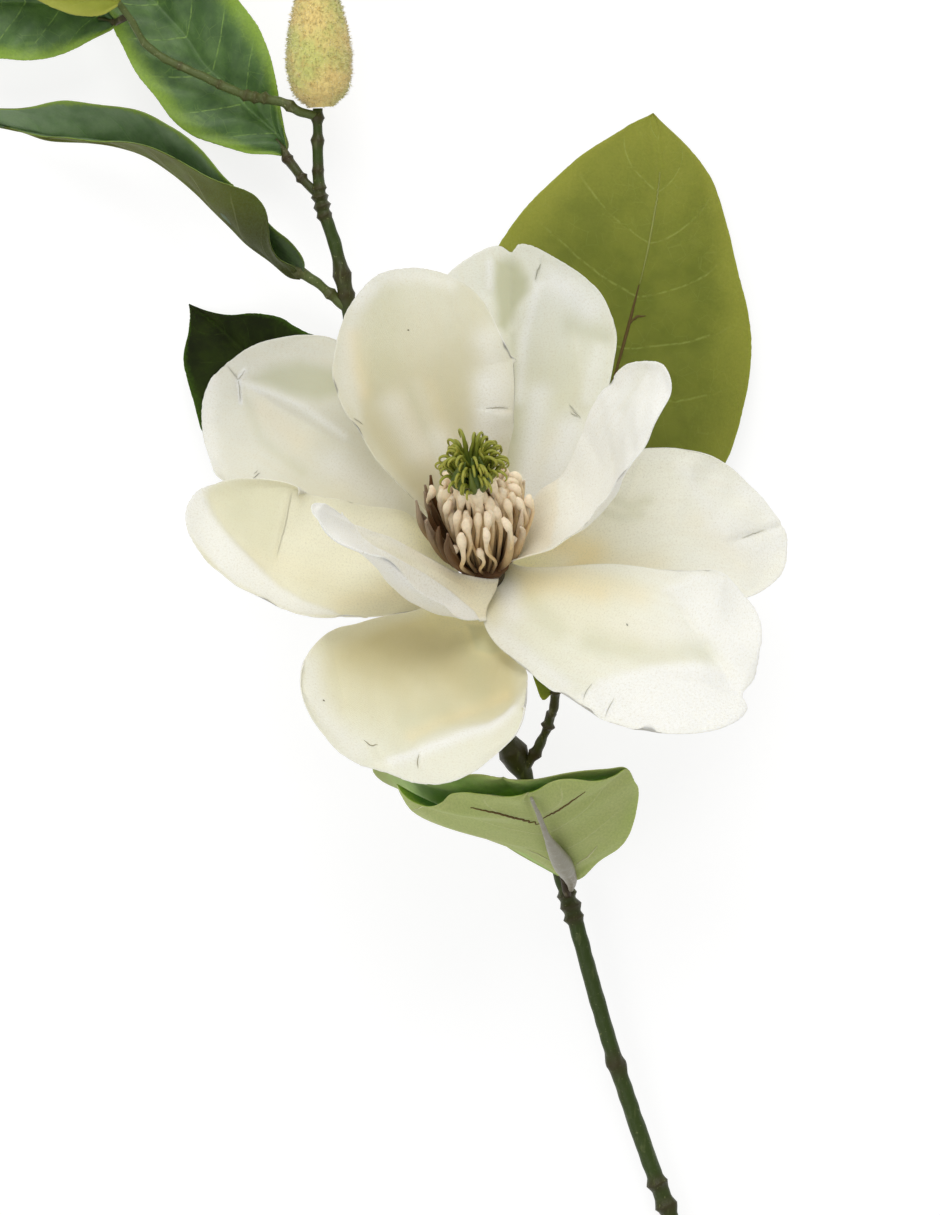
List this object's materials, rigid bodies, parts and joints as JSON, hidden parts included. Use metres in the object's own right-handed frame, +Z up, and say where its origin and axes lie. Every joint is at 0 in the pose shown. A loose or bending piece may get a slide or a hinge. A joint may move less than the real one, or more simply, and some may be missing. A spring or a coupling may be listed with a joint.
{
  "type": "magnolia branch",
  "caption": "Cut artificial magnolia branch lying face up, with an open cream bloom, curled petals, broad leaves, a downy bud and a bent woody stem.",
  "frame": {"origin": "centre of the bounding box in X and Y, on the surface that the branch lies on", "axes": "+Y from the cut stem end towards the bud, +Z up, the way that the bloom is seen from"},
  "size_m": [0.3001, 0.5046, 0.1298],
  "materials": {
    "petal_cloth": "matt cream cloth, shaded warm towards the base",
    "leaf_green": "coated cloth, soft sheen, dark green with a lime margin",
    "leaf_dark": "coated cloth, very dark green",
    "leaf_olive_back": "matt cloth underside, olive with pale veins",
    "leaf_pale_back": "matt cloth underside, pale green with brown veins",
    "stamen_beige": "matt beige tips on brown bases",
    "style_green": "matt yellow-green",
    "bark": "satin dark green and brown bark",
    "twig": "satin dark brown-green",
    "rib_grey": "matt grey leaf rib",
    "bud_down": "short peach and yellow-green down"
  },
  "bodies": {
    "root": {"petal_1_inner_top": "petal_cloth", "petal_2_outer_top": "petal_cloth", "petal_3_inner_right": "petal_cloth", "petal_4_outer_right": "petal_cloth", "petal_5_outer_lower_right": "petal_cloth", "petal_6_outer_bottom": "petal_cloth", "petal_7_inner_lower_left": "petal_cloth", "petal_8_outer_left": "petal_cloth", "petal_9_outer_upper_left": "petal_cloth", "leaf_1_upper_right": "leaf_olive_back", "leaf_2_left": "leaf_dark", "leaf_3_long": "leaf_green", "leaf_4_top": "leaf_green", "leaf_5_front": "leaf_pale_back", "leaf_5_back": "leaf_green", "leaf_6_left": "leaf_green", "leaf_7_top": "leaf_green", "leaf_8_small": "leaf_olive_back", "stamens": "stamen_beige", "styles": "style_green", "main_stem": "bark", "flower_stalk": "twig", "twig_leaf_3": "twig", "twig_leaf_4": "twig", "twig_top": "twig", "petiole_leaf_1": "twig", "petiole_leaf_2": "twig", "petiole_leaf_6": "twig", "petiole_leaf_5_back": "twig", "rib_leaf_5": "rib_grey", "bud": "bud_down"}
  },
  "joints": []
}
